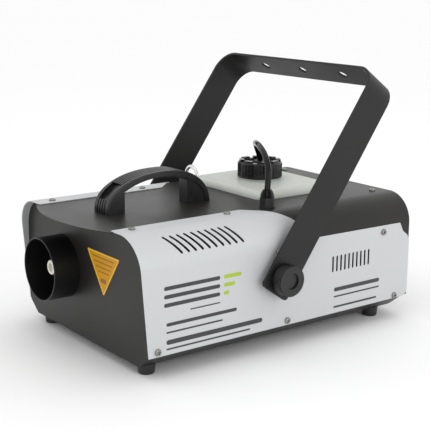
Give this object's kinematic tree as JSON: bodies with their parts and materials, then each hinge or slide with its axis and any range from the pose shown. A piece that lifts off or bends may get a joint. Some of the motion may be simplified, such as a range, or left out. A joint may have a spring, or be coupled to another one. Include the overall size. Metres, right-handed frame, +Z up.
{
  "type": "fog machine",
  "caption": "Portable fog machine: steel housing with a tilting mounting bracket, carry handle, fluid tank with a screw cap and hose, and a shrouded front nozzle.",
  "frame": {"origin": "centre of the bounding box's underside, on the floor plane under the four feet", "axes": "+X to the side with the hose boot, +Y from the nozzle to the rear panel, +Z up"},
  "size_m": [0.334, 0.4354, 0.3264],
  "materials": {
    "charcoal_steel": "satin powder coat",
    "silver_steel": "satin silver paint",
    "black_steel": "matte powder coat",
    "shroud_steel": "satin black",
    "black_plastic": "satin moulded",
    "cap_plastic": "glossy",
    "tank_plastic": "translucent milky",
    "nozzle_ceramic": "unglazed ceramic white",
    "rubber": "matte",
    "hose": "glossy",
    "zinc_steel": "zinc plated",
    "bright_nickel": "bright nickel",
    "cast_aluminium": "as cast",
    "heater_steel": "plain",
    "mineral_wool": "woven glass fibre",
    "coil_plastic": "matte",
    "circuit_board": "solder resist",
    "bezel_plastic": "satin",
    "display_glass": "clear window",
    "button_rubber": "matte",
    "rocker_red": "glossy",
    "label_yellow": "printed film"
  },
  "bodies": {
    "housing": {"top_cover": "charcoal_steel", "base_tray": "charcoal_steel", "front_panel": "charcoal_steel", "rear_panel": "charcoal_steel", "side_panel_left": "silver_steel", "side_panel_right": "silver_steel", "nozzle_shroud": "shroud_steel", "nozzle_baffle": "shroud_steel", "carry_handle": "black_plastic", "power_inlet": "black_plastic", "switch_frame": "black_plastic", "signal_in_socket": "black_plastic", "signal_out_socket": "black_plastic", "pump_body": "black_plastic", "fluid_tank": "tank_plastic", "tank_neck": "tank_plastic", "nozzle_tip": "nozzle_ceramic", "rubber_feet": "rubber", "hose_boot": "rubber", "pivot_spacers": "rubber", "pump_rubber_mount": "rubber", "feed_hose": "hose", "suction_line": "hose", "pickup_tube": "hose", "panel_screws": "zinc_steel", "handle_screws": "zinc_steel", "foot_bolts": "zinc_steel", "knob_washers": "zinc_steel", "pivot_nuts": "zinc_steel", "bezel_screws": "zinc_steel", "heater_cradles": "zinc_steel", "pump_yoke": "zinc_steel", "board_standoffs": "zinc_steel", "safety_eye": "bright_nickel", "heater_block": "cast_aluminium", "heating_element": "heater_steel", "thermostat_and_cutout": "heater_steel", "pressure_line": "heater_steel", "heater_insulation": "mineral_wool", "pump_coil": "coil_plastic", "pickup_strainer": "coil_plastic", "control_board": "circuit_board", "power_board": "circuit_board", "control_bezel": "bezel_plastic", "display_window": "display_glass", "label_plate": "label_yellow"},
    "bracket": {"tilt_bracket": "black_steel"},
    "knob_left": {"left_knob": "black_plastic", "left_knob_stud": "zinc_steel"},
    "knob_right": {"right_knob": "black_plastic", "right_knob_stud": "zinc_steel"},
    "cap": {"tank_cap": "cap_plastic", "cap_grommet": "rubber"},
    "rocker": {"power_rocker": "rocker_red"},
    "fuse_tray": {"fuse_drawer": "black_plastic"},
    "key_menu": {"menu_button": "button_rubber"},
    "key_down": {"down_button": "button_rubber"},
    "key_up": {"up_button": "button_rubber"},
    "key_enter": {"enter_button": "button_rubber"},
    "plunger": {"pump_plunger": "zinc_steel"}
  },
  "joints": [
    {"name": "bracket_tilt", "type": "hinge", "parent": "housing", "child": "bracket", "pos_m": [0, -0.00615, 0.0915], "axis": [1, 0, 0], "range_deg": [-65, 130]},
    {"name": "knob_left_turn", "type": "hinge", "parent": "housing", "child": "knob_left", "pos_m": [-0.155, -0.00615, 0.0915], "axis": [-1, 0, 0], "continuous": true},
    {"name": "knob_right_turn", "type": "hinge", "parent": "housing", "child": "knob_right", "pos_m": [0.155, -0.00615, 0.0915], "axis": [1, 0, 0], "continuous": true},
    {"name": "cap_turn", "type": "hinge", "parent": "housing", "child": "cap", "pos_m": [-0.02, 0.09675, 0.185], "axis": [0, 0, 1], "range_deg": [0, 540]},
    {"name": "power_rocker_tilt", "type": "hinge", "parent": "housing", "child": "rocker", "pos_m": [0.095, 0.20495, 0.088], "axis": [0, 0, 1], "range_deg": [0, 14]},
    {"name": "fuse_drawer_slide", "type": "slide", "parent": "housing", "child": "fuse_tray", "axis": [0, 1, 0], "range_m": [0, 0.014]},
    {"name": "pump_plunger_stroke", "type": "slide", "parent": "housing", "child": "plunger", "axis": [0, 1, 0], "range_m": [0, 0.003], "stiffness_N_per_m": 300},
    {"name": "menu_press", "type": "slide", "parent": "housing", "child": "key_menu", "axis": [0, -1, 0], "range_m": [0, 0.0012], "stiffness_N_per_m": 400},
    {"name": "down_press", "type": "slide", "parent": "housing", "child": "key_down", "axis": [0, -1, 0], "range_m": [0, 0.0012], "stiffness_N_per_m": 400},
    {"name": "up_press", "type": "slide", "parent": "housing", "child": "key_up", "axis": [0, -1, 0], "range_m": [0, 0.0012], "stiffness_N_per_m": 400},
    {"name": "enter_press", "type": "slide", "parent": "housing", "child": "key_enter", "axis": [0, -1, 0], "range_m": [0, 0.0012], "stiffness_N_per_m": 400}
  ]
}
